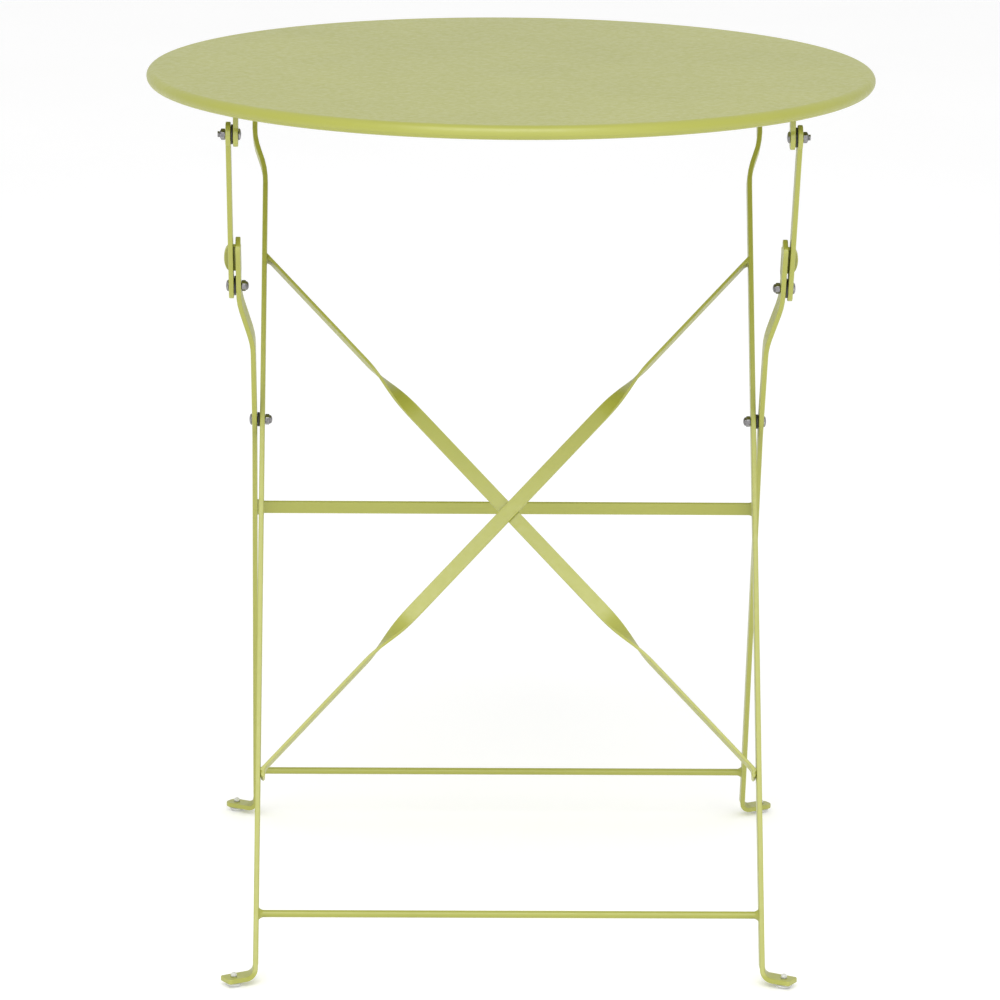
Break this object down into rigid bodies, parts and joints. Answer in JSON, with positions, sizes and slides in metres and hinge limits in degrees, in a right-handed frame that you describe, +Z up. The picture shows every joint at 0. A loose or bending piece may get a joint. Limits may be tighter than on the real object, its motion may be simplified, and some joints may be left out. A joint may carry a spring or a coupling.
{
  "type": "folding bistro table",
  "caption": "Round steel table top on crossed flat-strip legs that fold flat, locked open by two short link arms, with a diagonal brace between the front legs.",
  "frame": {"origin": "on the floor under the middle of the round top, with the table open", "axes": "+Z up, -Y towards the front (the elbow and link-arm side), +X to the right seen from the front"},
  "size_m": [0.6, 0.6, 0.71],
  "materials": {
    "powder_coat": "satin lime-green powder coat with a fine texture",
    "plated_steel": "bright zinc or chrome plating",
    "black_washer": "plain black nylon",
    "clear_glide": "milky translucent plastic"
  },
  "bodies": {
    "inner_frame": {"inner_leg_right": "powder_coat", "inner_leg_left": "powder_coat", "brace_front": "powder_coat", "brace_rear": "powder_coat", "front_foot_bar": "powder_coat", "front_glide_right": "clear_glide", "front_glide_left": "clear_glide", "scissor_bolt_right": "plated_steel", "scissor_bolt_left": "plated_steel", "scissor_washer_right": "black_washer", "scissor_washer_left": "black_washer", "scissor_nut_right": "plated_steel", "scissor_nut_left": "plated_steel"},
    "outer_frame": {"outer_leg_right": "powder_coat", "outer_leg_left": "powder_coat", "flat_stretcher": "powder_coat", "rear_foot_bar": "powder_coat", "rear_glide_right": "clear_glide", "rear_glide_left": "clear_glide", "elbow_nut_right": "plated_steel", "elbow_nut_left": "plated_steel", "elbow_washer_right": "black_washer", "elbow_washer_left": "black_washer"},
    "tabletop": {"tabletop": "powder_coat", "front_rail": "powder_coat", "rear_rail": "powder_coat", "front_lug_bolt_right": "plated_steel", "front_lug_bolt_left": "plated_steel", "front_lug_washer_right": "black_washer", "front_lug_washer_left": "black_washer", "front_lug_nut_right": "plated_steel", "front_lug_nut_left": "plated_steel", "rear_lug_bolt_right": "plated_steel", "rear_lug_bolt_left": "plated_steel", "rear_lug_washer_right": "black_washer", "rear_lug_washer_left": "black_washer", "rear_lug_nut_right": "plated_steel", "rear_lug_nut_left": "plated_steel"},
    "link_arm_right": {"link_arm_right": "powder_coat", "elbow_bolt_right": "plated_steel"},
    "link_arm_left": {"link_arm_left": "powder_coat", "elbow_bolt_left": "plated_steel"}
  },
  "joints": [
    {"name": "top_fold", "type": "hinge", "parent": "inner_frame", "child": "tabletop", "pos_m": [0, 0.16102, 0.679], "axis": [1, 0, 0], "range_deg": [0, 48.89]},
    {"name": "leg_fold", "type": "hinge", "parent": "inner_frame", "child": "outer_frame", "pos_m": [0, 0, 0.413], "axis": [-1, 0, 0], "range_deg": [0, 59.5]},
    {"name": "arm_fold_right", "type": "hinge", "parent": "tabletop", "child": "link_arm_right", "pos_m": [0.2283, -0.15617, 0.679], "axis": [1, 0, 0], "range_deg": [0, 52.94]},
    {"name": "arm_fold_left", "type": "hinge", "parent": "tabletop", "child": "link_arm_left", "pos_m": [-0.2283, -0.15617, 0.679], "axis": [1, 0, 0], "range_deg": [0, 52.94]}
  ],
  "couplings": [
    {"joint": "leg_fold", "follows": "top_fold", "ratio": 1.2169},
    {"joint": "arm_fold_right", "follows": "top_fold", "ratio": 1.0827},
    {"joint": "arm_fold_left", "follows": "top_fold", "ratio": 1.0827}
  ]
}
